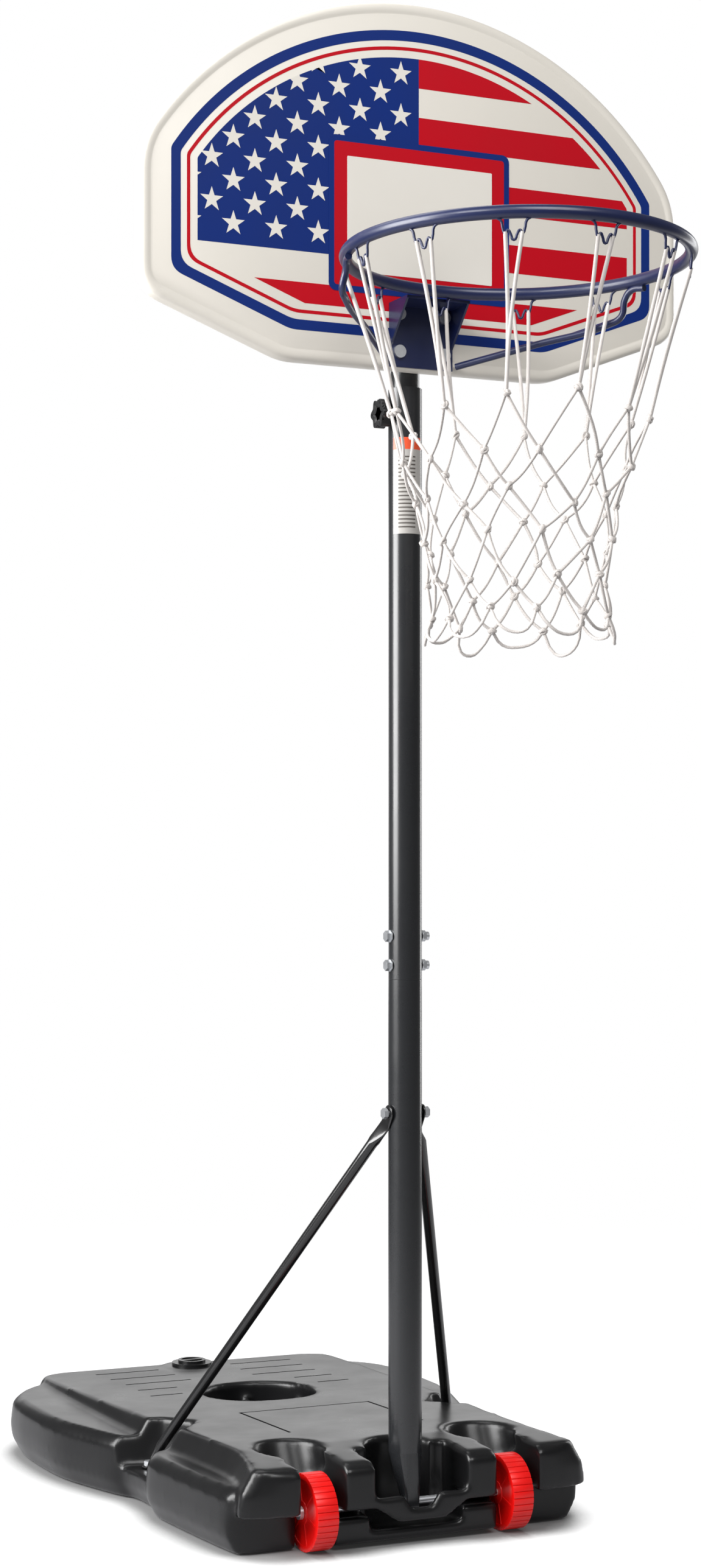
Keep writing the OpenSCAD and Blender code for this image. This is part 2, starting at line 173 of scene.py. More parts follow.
def loft(name, rings):
    """A closed shape through rings of 3-D points, bottom first."""
    count = len(rings[0])
    points = [p for ring in rings for p in ring]
    faces = [list(range(count)), [len(points) - count + i for i in range(count)]]
    for level in range(len(rings) - 1):
        low = level * count
        for i in range(count):
            j = (i + 1) % count
            faces.append([low + i, low + j, low + count + j, low + count + i])
    piece = sheet_mesh(name, points, faces)
    pick(piece)
    bpy.ops.object.mode_set(mode="EDIT")
    bpy.ops.mesh.select_all(action="SELECT")
    bpy.ops.mesh.normals_make_consistent(inside=False)
    object_mode()
    return piece


def combine(piece, other, operation):
    """Cuts, joins or intersects piece with other, which is used up."""
    apply_modifier(piece, "BOOLEAN", operation=operation, object=other, solver="MANIFOLD")
    bpy.data.objects.remove(other)


def block(low, high, name="block"):
    """A box primitive between two corners."""
    middle = (Vector(low) + Vector(high)) / 2
    bpy.ops.object.select_all(action="DESELECT")
    bpy.ops.mesh.primitive_cube_add(size=1, location=middle)
    piece = bpy.context.active_object
    piece.scale = Vector(high) - Vector(low)
    bpy.ops.object.transform_apply(location=True, rotation=True, scale=True)
    piece.name = name
    return piece


def cylinder(radius, depth, centre, axis="Z", sides=48):
    turn = {"X": (0, math.pi / 2, 0), "Y": (math.pi / 2, 0, 0), "Z": (0, 0, 0)}[axis]
    bpy.ops.object.select_all(action="DESELECT")
    bpy.ops.mesh.primitive_cylinder_add(
        vertices=sides, radius=radius, depth=depth, location=centre, rotation=turn)
    piece = bpy.context.active_object
    bpy.ops.object.transform_apply(location=True, rotation=True, scale=True)
    return piece


def rod(name, points, radius, resolution=6):
    """A round bar or cord along points, as a mesh."""
    curve = bpy.data.curves.new(name, "CURVE")
    curve.dimensions = "3D"
    curve.bevel_depth = radius
    curve.bevel_resolution = 3
    curve.use_fill_caps = True
    curve.resolution_u = resolution
    add_spline(curve, points)
    return curve_to_mesh(name, curve)


def add_spline(curve, points, cyclic=False, kind="BEZIER"):
    spline = curve.splines.new(kind)
    if kind == "BEZIER":
        spline.bezier_points.add(len(points) - 1)
        for knot, place in zip(spline.bezier_points, points):
            knot.co = place
            knot.handle_left_type = "AUTO"
            knot.handle_right_type = "AUTO"
    else:
        spline.points.add(len(points) - 1)
        for knot, place in zip(spline.points, points):
            knot.co = (place[0], place[1], place[2], 1)
    spline.use_cyclic_u = cyclic
    return spline


def curve_to_mesh(name, curve):
    piece = bpy.data.objects.new(name, curve)
    bpy.context.collection.objects.link(piece)
    pick(piece)
    bpy.ops.object.convert(target="MESH")
    return bpy.context.active_object


def join(name, pieces):
    """Joins several meshes into one."""
    pick(*pieces)
    if len(pieces) > 1:
        bpy.ops.object.join()
    piece = bpy.context.active_object
    piece.name = name
    return piece


# %% [markdown]
# ## Helpers for materials
# Colours are given as the sRGB hex values a painter would name, and turned to linear light
# here. One small function adds a node, sets its sockets and links what feeds it.

# %% Colour and nodes
def linear(code):
    """An sRGB hex code such as 'D90808' as linear red, green, blue and alpha."""
    parts = [int(code[i:i + 2], 16) / 255 for i in (0, 2, 4)]
    return [p / 12.92 if p <= 0.04045 else ((p + 0.055) / 1.055) ** 2.4 for p in parts] + [1.0]


def add_node(tree, kind, values=None, links=None, **settings):
    """Adds a node. values sets sockets by name and links joins (node, output) to sockets."""
    made = tree.nodes.new(kind)
    for key, value in settings.items():
        setattr(made, key, value)
    for socket, value in (values or {}).items():
        made.inputs[socket].default_value = value
    for socket, (source, output) in (links or {}).items():
        tree.links.new(source.outputs[output], made.inputs[socket])
    return made


def finish_with(name, colour, rough, second=None, mix_mm=40.0, grain_mm=1.0, grain=0.1,
                wave_mm=None, wave=0.0, rough_span=0.08, **shader):
    """A surface whose colour, roughness and bump vary at real sizes in millimetres."""
    material = bpy.data.materials.new(name)
    material.use_nodes = True
    tree = material.node_tree
    tree.nodes.clear()
    place = add_node(tree, "ShaderNodeTexCoord")
    here = {"Vector": (place, "Object")}
    blotch = add_node(tree, "ShaderNodeTexNoise",
                      {"Scale": 1000 / mix_mm, "Detail": 3.0, "Roughness": 0.6}, here)
    tint = add_node(tree, "ShaderNodeMix", {"A": linear(colour), "B": linear(second or colour)},
                    data_type="RGBA")
    tree.links.new(blotch.outputs["Fac"], tint.inputs["Factor"])
    fine = add_node(tree, "ShaderNodeTexNoise",
                    {"Scale": 1000 / grain_mm, "Detail": 2.0, "Roughness": 0.5}, here)
    gloss = add_node(tree, "ShaderNodeMapRange",
                     {"To Min": rough - rough_span, "To Max": rough + rough_span},
                     {"Value": (blotch, "Fac")})
    bump = add_node(tree, "ShaderNodeBump", {"Strength": grain, "Distance": grain_mm * MM * 0.25},
                    {"Height": (fine, "Fac")})
    last = bump
    if wave_mm:
        slow = add_node(tree, "ShaderNodeTexNoise", {"Scale": 1000 / wave_mm, "Detail": 1.0}, here)
        last = add_node(tree, "ShaderNodeBump", {"Strength": wave, "Distance": 1.5 * MM},
                        {"Height": (slow, "Fac"), "Normal": (bump, "Normal")})
    surface = add_node(tree, "ShaderNodeBsdfPrincipled", shader, {
        "Base Color": (tint, "Result"),
        "Roughness": (gloss, "Result"),
        "Normal": (last, "Normal")})
    add_node(tree, "ShaderNodeOutputMaterial", None, {"Surface": (surface, "BSDF")})
    return material


# %% [markdown]
# ## Finishes
# - Powder coat is a baked paint with a fine orange-peel texture and a soft, wide shine.
# - Blow-moulded polyethylene is waxy and slightly wavy, and a fine grain dulls its gloss.
# - Enamel on the struts is smoother, so it carries a sharp highlight. The rim is less glossy.
# - Zinc plate is a bright metal with a slight mottle.
#
# The colours and roughness values were set one by one, and are not measured.

# %% Materials
powder_coat = finish_with("charcoal_powder_coat", "1E1F21", 0.28, "1B1C1E", 60, 0.9, 0.05,
                          **{"Coat Weight": 0.3, "Coat Roughness": 0.2})
tank_hdpe = finish_with("black_blow_moulded_polyethylene", "0D0D0E", 0.30, "121213", 90, 1.6, 0.10,
                        wave_mm=70, wave=0.10, **{"Specular IOR Level": 0.36})
black_enamel = finish_with("black_strut_enamel", "0C0C0D", 0.24, "101011", 50, 1.0, 0.05,
                           **{"Coat Weight": 0.4, "Coat Roughness": 0.12})
navy_enamel = finish_with("navy_rim_powder_coat", "101B45", 0.38, "0D173C", 50, 1.0, 0.08,
                          **{"Coat Weight": 0.25, "Coat Roughness": 0.2})
zinc_plate = finish_with("bright_zinc_plate", "E6E8EA", 0.40, "C9CCD0", 8, 0.8, 0.10,
                         **{"Metallic": 1.0})
knob_plastic = finish_with("black_moulded_nylon", "101112", 0.38, "181819", 20, 0.9, 0.15)
wheel_plastic = finish_with("red_polypropylene_wheel", "E00602", 0.38, "D20402", 30, 1.2, 0.10,
                            **{"IOR": 1.49})
board_plastic = finish_with("cream_moulded_polyethylene", "D9D4CB", 0.36, "D2CDC3", 120, 1.5, 0.08,
                            wave_mm=120, wave=0.05, **{"IOR": 1.5})
ink_blue = finish_with("printed_blue_ink", "0A2A74", 0.36, "082465", 160, 1.2, 0.06,
                       **{"Specular IOR Level": 0.25})
ink_red = finish_with("printed_red_ink", "BC0219", 0.36, "AA0014", 160, 1.2, 0.06,
                      **{"Specular IOR Level": 0.25})
ink_cream = finish_with("printed_cream_ink", "DDD9D1", 0.34, "D6D1C8", 160, 1.2, 0.06)
braided_nylon = finish_with("white_braided_nylon", "C6C1BD", 0.8, "B2ACA8", 9, 1.4, 0.6,
                            **{"Sheen Weight": 0.3, "Sheen Roughness": 0.4})
rubber = finish_with("black_gasket_rubber", "0E0E0E", 0.7, "151515", 10, 0.8, 0.2)
water = finish_with("ballast_water", "6F8FA3", 0.2, "6A8A9E", 90, 3.0, 0.02)

CAD_FINISH = {
    "tank_hdpe": tank_hdpe, "ballast": water, "gasket_rubber": rubber, "zinc_steel": zinc_plate,
    "wheel_red": wheel_plastic, "powder_coat": powder_coat, "black_enamel": black_enamel,
    "knob_plastic": knob_plastic, "board_hdpe": board_plastic, "rim_navy": navy_enamel,
    "net_nylon": braided_nylon,
}
for row in frame["record"]["subparts"]:
    cad_node = frame["nodes"][row["node"]]
    cad_node.data.materials.clear()
    cad_node.data.materials.append(CAD_FINISH[row["material_slot"]])
print("finishes", len(CAD_FINISH))
bpy.ops.object.select_all(action="DESELECT")

# %% [markdown]
# ## The camera, the floor and the light
# A long, level lens a little above the bolts of the pole's seam keeps the pole upright in the
# picture. Large soft lamps light the hoop. To the camera the floor is mostly a pale glow of
# its own, which an ambient occlusion term dims close to the base, as a contact shadow would.

# %% Camera
PICTURE_H = 2576
FOCAL_PX = 4276.7
SENSOR_MM = 36.0
lens = bpy.data.cameras.new("camera")
lens.sensor_width = SENSOR_MM
lens.lens = FOCAL_PX * SENSOR_MM / PICTURE_H
lens.shift_x = 0.040
lens.shift_y = 0.0633
lens.clip_end = 100
camera = bpy.data.objects.new("camera", lens)
camera.location = (-1.5546, POLE_Y - 3.1304, 0.8758)
camera.rotation_euler = (math.pi / 2, 0, math.radians(-23.83))
bpy.context.collection.objects.link(camera)
bpy.context.scene.camera = camera

# %% Floor and lamps
bpy.ops.object.select_all(action="DESELECT")
bpy.ops.mesh.primitive_plane_add(size=7, location=(0, 0, -0.0005))
floor = bpy.context.active_object
floor.name = "studio_floor"
paper = finish_with("pale_floor_paper", "B6B6B8", 0.9, "B3B3B5", 300, 2.0, 0.02,
                    **{"Specular IOR Level": 0.0})
sheet = paper.node_tree
eye = add_node(sheet, "ShaderNodeLightPath")
near = add_node(sheet, "ShaderNodeAmbientOcclusion", {"Distance": 0.09})
shade = add_node(sheet, "ShaderNodeMapRange",
                 {"From Min": 0.42, "From Max": 0.86, "To Min": 0.02, "To Max": 0.90},
                 {"Value": (near, "AO")}, interpolation_type="SMOOTHSTEP")
glow = add_node(sheet, "ShaderNodeEmission", {"Color": (1, 1, 1, 1)}, {"Strength": (shade, "Result")})
paint = sheet.nodes["Principled BSDF"]
bright = add_node(sheet, "ShaderNodeBsdfDiffuse", {"Color": (0.22, 0.22, 0.22, 1)})
lit = add_node(sheet, "ShaderNodeAddShader")
sheet.links.new(bright.outputs["BSDF"], lit.inputs[0])
sheet.links.new(glow.outputs["Emission"], lit.inputs[1])
shown = add_node(sheet, "ShaderNodeMixShader", None, {"Fac": (eye, "Is Camera Ray")})
sheet.links.new(paint.outputs["BSDF"], shown.inputs[1])
sheet.links.new(lit.outputs["Shader"], shown.inputs[2])
spot = add_node(sheet, "ShaderNodeTexCoord")
away = add_node(sheet, "ShaderNodeVectorMath", None, {"Vector": (spot, "Object")}, operation="LENGTH")
fade = add_node(sheet, "ShaderNodeMapRange", {"From Min": 1.5, "From Max": 3.2}, {"Value": (away, "Value")},
                interpolation_type="SMOOTHSTEP")
gone = add_node(sheet, "ShaderNodeBsdfTransparent")
edge = add_node(sheet, "ShaderNodeMixShader", None, {"Fac": (fade, "Result")})
sheet.links.new(shown.outputs["Shader"], edge.inputs[1])
sheet.links.new(gone.outputs["BSDF"], edge.inputs[2])
sheet.links.new(edge.outputs["Shader"], sheet.nodes["Material Output"].inputs["Surface"])
floor.data.materials.append(paper)


def lamp(name, place, aim, size, power):
    light = bpy.data.lights.new(name, "AREA")
    light.shape = "RECTANGLE"
    light.size, light.size_y = size
    light.energy = power
    one = bpy.data.objects.new(name, light)
    one.location = place
    one.visible_camera = False
    one.rotation_euler = (Vector(aim) - Vector(place)).to_track_quat("-Z", "Y").to_euler()
    bpy.context.collection.objects.link(one)


lamp("strip_left", (-2.9, 0.15, 2.0), (0, 0, 1.3), (2.0, 2.4), 230)
lamp("key_front_left", (-3.2, -2.4, 3.8), (0, 0, 1.1), (1.4, 1.4), 85)
lamp("fill_front", (-0.4, -4.4, 5.2), (0, 0, 1.2), (3.0, 3.0), 230)
lamp("side_right", (3.0, 1.0, 1.5), (0, 0, 0.9), (0.6, 2.6), 30)
lamp("back_low", (1.4, 4.2, 1.3), (0, 0.3, 0.2), (4.5, 1.6), 30)
lamp("top_soft", (-0.4, 1.2, 3.8), (0, 0.2, 0), (3.0, 1.6), 36)
world = bpy.data.worlds.new("studio_air")
world.use_nodes = True
air = world.node_tree
seen = add_node(air, "ShaderNodeLightPath")
level = add_node(air, "ShaderNodeMapRange", {"To Min": 0.17, "To Max": 1.0},
                 {"Value": (seen, "Is Camera Ray")})
background = air.nodes["Background"]
background.inputs["Color"].default_value = (1, 1, 1, 1)
air.links.new(level.outputs["Result"], background.inputs["Strength"])
bpy.context.scene.world = world
bpy.context.scene.view_settings.view_transform = "Standard"

# %% [markdown]
# ## The base tank
# The real tank is blown in a mould, so it has no sharp edge anywhere. It is built here as the
# mould maker would: plain blocks are joined and cut, the whole is remeshed to an even skin,
# and smoothing rounds every edge at once. The fine grooves are cut after that.

# %% Tank outlines
DECK_FRONT, DECK_REAR = 122 * MM, 96 * MM
DECK_REAR_Y = 815 * MM
NOSE_Y = 55 * MM


def mirrored(half, z):
    """A closed outline from its right half, given in millimetres about the pole."""
    right = [Vector((x * MM, POLE_Y + y * MM, z)) for x, y in half]
    left = [Vector((-p.x, p.y, p.z)) for p in reversed(right)]
    return right + left


def grown(half, out, back):
    """The half outline moved out sideways, and back at its rear end."""
    return [(x + out if x > 20 else x, y + (back if y > 700 else 0)) for x, y in half]


def softened(half, times=2):
    """The half outline with its corners cut again and again, which makes them curves."""
    points = list(half)
    for _ in range(times):
        cut = [points[0]]
        for (ax, ay), (bx, by) in zip(points, points[1:]):
            cut += [(ax * 0.75 + bx * 0.25, ay * 0.75 + by * 0.25),
                    (ax * 0.25 + bx * 0.75, ay * 0.25 + by * 0.75)]
        points = cut + [half[-1]]
    return points


DECK_HALF = [(2, -55), (240, -55), (226, 0), (214, 62), (218, 160), (226, 260), (232, 420),
             (236, 600), (237, 770), (222, 806), (150, 818), (60, 818), (2, 818)]
SKIRT_HALF = [(2, -12), (255, -12), (266, 0), (286, 205), (284, 238), (270, 252), (272, 344),
              (288, 362), (310, 430), (328, 490), (334, 560), (334, 660), (322, 730), (280, 776),
              (215, 822), (120, 830), (60, 830), (2, 830)]
DECK_HALF, SKIRT_HALF = softened(DECK_HALF), softened(SKIRT_HALF)

deck = loft("deck", [
    mirrored(grown(DECK_HALF, 24, 8), 50 * MM),
    mirrored(grown(DECK_HALF, 20, 6), 84 * MM),
    mirrored(grown(DECK_HALF, 4, 0), 112 * MM),
    mirrored(grown(DECK_HALF, -4, -4), 140 * MM)])
profile = [(-NOSE_Y, 54 * MM), (-NOSE_Y, 108 * MM), (-40 * MM, 117 * MM), (62 * MM, DECK_FRONT),
           (DECK_REAR_Y, DECK_REAR), (DECK_REAR_Y + 12 * MM, 54 * MM)]
wedge = prism("wedge", [(-0.4, POLE_Y + y, z) for y, z in profile], (0.8, 0, 0))
combine(deck, wedge, "INTERSECT")
skirt = loft("skirt", [
    mirrored(grown(SKIRT_HALF, -16, -14), 0.4 * MM),
    mirrored(grown(SKIRT_HALF, -2, -2), 26 * MM),
    mirrored(grown(SKIRT_HALF, 0, 0), 44 * MM),
    mirrored(grown(SKIRT_HALF, -3, -2), 76 * MM),
    mirrored(grown(SKIRT_HALF, -14, -10), 88 * MM)])
tank = deck
combine(tank, skirt, "UNION")
combine(tank, block((-0.121, POLE_Y - 0.038, 0.006), (0.121, POLE_Y - 0.002, 0.042)), "UNION")

# %% Bays, notches and the well
WELL_Y, WELL_R, WELL_FLOOR = POLE_Y + 0.498, 0.086, 0.034
WELL_RIBS = 6
CAP_Y = POLE_Y + 0.772
NOTCH_LOW = [(196, 306), (220, 272), (300, 250), (400, 250), (400, 358), (288, 356), (224, 338)]
NOTCH_HIGH = [(176, 300), (210, 254), (300, 226), (400, 226), (400, 380), (288, 376), (212, 352)]


def cut_both(low, high):
    """Cuts one box out of the right side and its twin out of the left."""
    combine(tank, block(low, high), "DIFFERENCE")
    combine(tank, block((-high[0], low[1], low[2]), (-low[0], high[1], high[2])), "DIFFERENCE")


cut_both((WHEEL_X - 0.032, POLE_Y - 0.08, 0.054), (WHEEL_X + 0.032, POLE_Y + 0.055, 0.2))
cut_both((WHEEL_X - 0.020, POLE_Y - 0.08, -0.01), (WHEEL_X + 0.020, POLE_Y + 0.044, 0.06))
for side in (-1, 1):
    scoop = cylinder(0.032, 0.16, (side * WHEEL_X, POLE_Y + 0.055, 0.14))
    combine(tank, scoop, "DIFFERENCE")
    flare = cylinder(0.047, 0.2, (side * WHEEL_X, POLE_Y + 0.05, 0.185))
    pick(flare)
    bpy.ops.transform.rotate(value=math.radians(28), orient_axis="X",
                             center_override=(side * WHEEL_X, POLE_Y + 0.05, 0.10))
    bpy.ops.object.transform_apply(location=True, rotation=True, scale=True)
    combine(tank, flare, "DIFFERENCE")
    notch = loft("notch", [[(side * x * MM, POLE_Y + y * MM, z) for x, y in plan] for z, plan in
                           ((0.046, NOTCH_LOW), (0.135, NOTCH_HIGH))])
    combine(tank, notch, "DIFFERENCE")
combine(tank, block((-0.068, POLE_Y - 0.041, 0.022), (0.068, POLE_Y + 0.021, 0.2)), "DIFFERENCE")
combine(tank, cylinder(0.046, 0.2, (0, POLE_Y + 0.021, 0.122)), "DIFFERENCE")
combine(tank, block((-0.068, POLE_Y - 0.08, 0.04), (0.068, POLE_Y - 0.03, 0.2)), "DIFFERENCE")
CRADLE = [(-78, 66), (-27, 69), (-15, 50), (15, 50), (27, 69), (78, 66), (70, 56), (34, 33),
          (-34, 33), (-70, 56)]
cradle = prism("cradle", [(x * MM, POLE_Y - 0.055, z * MM) for x, z in CRADLE], (0, 0.014, 0))
combine(tank, cradle, "UNION")
slot = block((-0.111, POLE_Y - 0.0405, 0.042), (0.111, POLE_Y - 0.006, 0.059))
combine(tank, slot, "DIFFERENCE")
combine(tank, cylinder(WELL_R, 0.2, (0, WELL_Y, WELL_FLOOR + 0.1), sides=96), "DIFFERENCE")
for turn in range(WELL_RIBS):
    angle = math.radians(360 / WELL_RIBS * turn + 20)
    rib = block((0.050, -0.004, WELL_FLOOR - 0.004), (0.092, 0.004, 0.080))
    rib.rotation_euler = (0, 0, angle)
    rib.location = (0, WELL_Y, 0)
    pick(rib)
    bpy.ops.object.transform_apply(location=True, rotation=True, scale=True)
    combine(tank, rib, "UNION")
boss = cylinder(0.045, 0.006, (0, CAP_Y, DECK_REAR + 0.001))
combine(tank, boss, "UNION")
print("tank before remeshing", len(tank.data.polygons), "faces")

# %% Remesh, round and engrave
VOXEL = 4.4 * MM
apply_modifier(tank, "REMESH", mode="VOXEL", voxel_size=VOXEL)
apply_modifier(tank, "SMOOTH", factor=0.5, iterations=7)


def deck_height(y):
    """Height of the deck's top at a distance y behind the pole."""
    share = (y - 0.062) / (DECK_REAR_Y - 0.062)
    return DECK_FRONT + (DECK_REAR - DECK_FRONT) * share


cutters = []


def groove(x0, x1, y0, y1, depth=2.6 * MM):
    """A box that engraves a straight groove along X or Y into the sloping deck."""
    top = deck_height((y0 + y1) / 2)
    cutters.append(block((x0, POLE_Y + y0, top - depth), (x1, POLE_Y + y1, top + 0.02)))


GROOVES = [(760, 62, 168), (703, 56, 164), (645, 52, 160), (586, 98, 162), (528, 112, 164)]
for y, x0, x1 in GROOVES:
    for side in (-1, 1):
        low_x, high_x = sorted((side * x0 * MM, side * x1 * MM))
        groove(low_x, high_x, (y - 2.6) * MM, (y + 2.6) * MM)
PANEL = (-104, 104, 150, 330)
groove(PANEL[0] * MM, PANEL[1] * MM, (PANEL[3] - 4) * MM, PANEL[3] * MM, 1.8 * MM)
for step in range(6):
    y0 = PANEL[2] + (PANEL[3] - PANEL[2]) * step / 6
    y1 = PANEL[2] + (PANEL[3] - PANEL[2]) * (step + 1) / 6
    for x in (PANEL[0], PANEL[1] - 4):
        groove(x * MM, (x + 4) * MM, y0 * MM, y1 * MM + 0.0005, 1.8 * MM)
for cutter in cutters:
    combine(tank, cutter, "DIFFERENCE")
smooth(tank, 40)
settle(tank, "tank_shell", "base", tank_hdpe, "tank_hdpe", "base_tank")
print("tank shell", len(tank.data.polygons), "faces")

# %% [markdown]
# ## The wheels
# Each wheel is one moulding: a broad tread with shallow cross grooves, a flat web and a hub.
# The toothed outline is drawn once and pulled out to the wheel's width. A ring is cut out of
# each face, six spokes are put back in it, and a bevel softens the edges.

# %% Wheels
RIBS = 36
GROOVE_DEPTH = 1.4 * MM


def wheel_outline(x):
    points = []
    pitch = 2 * math.pi / RIBS
    for rib in range(RIBS):
        for share, depth in ((0.0, 0), (0.42, 0), (0.84, 0), (0.90, 1), (0.95, 1)):
            angle = (rib + share) * pitch
            radius = WHEEL_R - depth * GROOVE_DEPTH
            points.append((x, AXLE_Y + radius * math.cos(angle), AXLE_Z + radius * math.sin(angle)))
    return points


def washer(inside, outside, x0, x1, sides=72):
    """A flat ring about the wheel's axle between two places along X."""
    middle = ((x0 + x1) / 2, AXLE_Y, AXLE_Z)
    ring = cylinder(outside, abs(x1 - x0), middle, "X", sides)
    combine(ring, cylinder(inside, 1.0, middle, "X", sides), "DIFFERENCE")
    return ring


def make_wheel(side):
    centre = side * WHEEL_X
    wheel = prism("wheel", wheel_outline(centre - WHEEL_W / 2), (WHEEL_W, 0, 0))
    for facing in (-1, 1):
        rim_face = centre + facing * WHEEL_W / 2
        combine(wheel, washer(15 * MM, 43 * MM, rim_face - facing * 1.3 * MM,
                              rim_face + facing * 3 * MM), "DIFFERENCE")
        for spoke in range(6):
            web = block((rim_face - 2.4 * MM, AXLE_Y + 12 * MM, AXLE_Z - 1.6 * MM),
                        (rim_face + 2.4 * MM, AXLE_Y + 44 * MM, AXLE_Z + 1.6 * MM))
            web.data.transform(spoke_turn(spoke, rim_face))
            near, far = sorted((rim_face - facing * 0.6 * MM, rim_face + facing * 5 * MM))
            trim = block((near, AXLE_Y - 0.06, AXLE_Z - 0.06), (far, AXLE_Y + 0.06, AXLE_Z + 0.06))
            combine(web, trim, "DIFFERENCE")
            combine(wheel, web, "UNION")
    apply_modifier(wheel, "BEVEL", width=0.6 * MM, segments=2, limit_method="ANGLE",
                   angle_limit=math.radians(50))
    combine(wheel, cylinder(5.1 * MM, WHEEL_W * 2, (centre, AXLE_Y, AXLE_Z), "X"), "DIFFERENCE")
    smooth(wheel, 30)
    label = "right" if side > 0 else "left"
    settle(wheel, "wheel_" + label + "_moulding", "wheel_" + label + "_body", wheel_plastic,
           "wheel_red", "wheel_" + label)
    print("wheel", label, len(wheel.data.polygons), "faces")


def spoke_turn(spoke, x):
    """The turn about the axle that carries one spoke to its place."""
    axle = Vector((x, AXLE_Y, AXLE_Z))
    return (Matrix.Translation(axle) @ Matrix.Rotation(math.radians(60 * spoke + 15), 4, "X")
            @ Matrix.Translation(-axle))


for side in (-1, 1):
    make_wheel(side)

# %% [markdown]
# ## The backboard
# The board is a shallow hollow moulding with an arched top and a rolled edge. Its outline is
# one arc and a few straight lines. Insets form the border on the front and a groove round the
# back, and short channels are cut in the back. The back is a guess at a usual moulding.

# %% Board outline
SLOPE = 0.376
SLOPE_LENGTH = math.hypot(1, SLOPE)
SLOPE_PLACE = (1.561 - SLOPE * 0.212) / SLOPE_LENGTH


def fillet(before, corner, after, reach):
    """A few points that round a corner, starting and ending reach away from it."""
    before, corner, after = Vector(before), Vector(corner), Vector(after)
    start = corner + (before - corner).normalized() * reach
    end = corner + (after - corner).normalized() * reach
    steps = [i / 6 for i in range(7)]
    return [tuple(start * (1 - t) ** 2 + corner * 2 * t * (1 - t) + end * t ** 2) for t in steps]


def board_outline(half, radius, slope_inset, bottom, reach=(0.020, 0.026, 0.022)):
    """The board's kind of outline as (x, z) points: flat bottom, slopes, sides and one arc."""
    rise = (SLOPE_PLACE + slope_inset) * SLOPE_LENGTH
    low = ((bottom - rise) / SLOPE, bottom)
    side_low = (half, rise + SLOPE * half)
    top_angle = math.acos(half / radius)
    side_high = (half, ARC_Z + radius * math.sin(top_angle))
    start_angle = top_angle + reach[2] / radius
    arc_start = (radius * math.cos(start_angle), ARC_Z + radius * math.sin(start_angle))
    right = fillet((0, bottom), low, side_low, reach[0])
    right += fillet(low, side_low, side_high, reach[1])
    right += fillet(side_low, side_high, arc_start, reach[2])[:-1]
    steps = 40
    for step in range(steps + 1):
        angle = start_angle + (math.pi / 2 - start_angle) * step / steps
        right.append((radius * math.cos(angle), ARC_Z + radius * math.sin(angle)))
    return right + [(-x, z) for x, z in reversed(right[:-1])]


# %% Board shell
face = [(x, BOARD_FACE_Y, z) for x, z in
        board_outline(BOARD_HALF, ARC_R, 0.0, BOARD_BOTTOM, (0.018, 0.032, 0.034))]
board = prism("board", face, (0, BOARD_T, 0))
for facing, width in ((-1, 7 * MM), (1, 2.5 * MM)):
    select_faces(board, lambda c, n: n.y * facing > 0.9)
    bpy.ops.mesh.region_to_loop()
    bpy.ops.mesh.bevel(offset=width, segments=5, affect="EDGES")
    object_mode()
select_faces(board, lambda c, n: n.y < -0.99)
for inset, push in ((5, 0.0), (2.0, 0.9), (1.6, 0.0), (2.0, -0.5)):
    bpy.ops.mesh.inset(thickness=inset * MM)
    if push:
        bpy.ops.transform.translate(value=(0, push * MM, 0))
object_mode()
select_faces(board, lambda c, n: n.y > 0.99)
for inset, push in ((12, 0.0), (3.0, -2.0), (3.0, 0.0), (3.0, 2.0)):
    bpy.ops.mesh.inset(thickness=inset * MM)
    if push:
        bpy.ops.transform.translate(value=(0, push * MM, 0))
object_mode()
BACK_Y = BOARD_FACE_Y + BOARD_T
for z, reach in ((1.655, 0.345), (1.735, 0.345), (1.815, 0.325), (1.895, 0.260)):
    for side in (-1, 1):
        x0, x1 = sorted((side * 0.085, side * reach))
        channel = block((x0, BACK_Y - 2.2 * MM, z - 7 * MM), (x1, BACK_Y + 5 * MM, z + 7 * MM))
        apply_modifier(channel, "BEVEL", width=1.6 * MM, segments=2)
        combine(board, channel, "DIFFERENCE")
RIM_BOLT_X, RIM_BOLT_Z = 0.033, (1.577, 1.627)
for x in (-RIM_BOLT_X, RIM_BOLT_X):
    for z in RIM_BOLT_Z:
        combine(board, cylinder(4.2 * MM, 0.2, (x, BOARD_FACE_Y, z), "Y", 24), "DIFFERENCE")
smooth(board, 30)
PRINT_Y = BOARD_FACE_Y + 0.4 * MM
settle(board, "board_shell", "board_carriage", board_plastic, "board_hdpe", "backboard")
print("board faces", len(board.data.polygons))

# %% [markdown]
# ## The print on the board
# The graphic is printed on a thin film: a blue border with a fine red line inside it, a blue
# field of stars, red bars and a shooter's square. Each colour is its own flat piece, a few
# tenths of a millimetre thick. An outline inside another makes a hole in it.

# %% Flat prints
FILM = 0.12 * MM


def printed(name, loops, material, layer):
    """Flat shapes on the board's face. loops is a list of outlines of (x, z) points."""
    curve = bpy.data.curves.new(name, "CURVE")
    curve.dimensions = "2D"
    curve.fill_mode = "BOTH"
    curve.extrude = FILM
    for loop in loops:
        add_spline(curve, [(x, z, 0) for x, z in loop], cyclic=True, kind="POLY")
    piece = curve_to_mesh(name, curve)
    piece.rotation_euler = (math.pi / 2, 0, 0)
    piece.location = (0, PRINT_Y - FILM * (2 * layer + 0.6), 0)
    return settle(piece, name, "board_carriage", material, "board_hdpe")


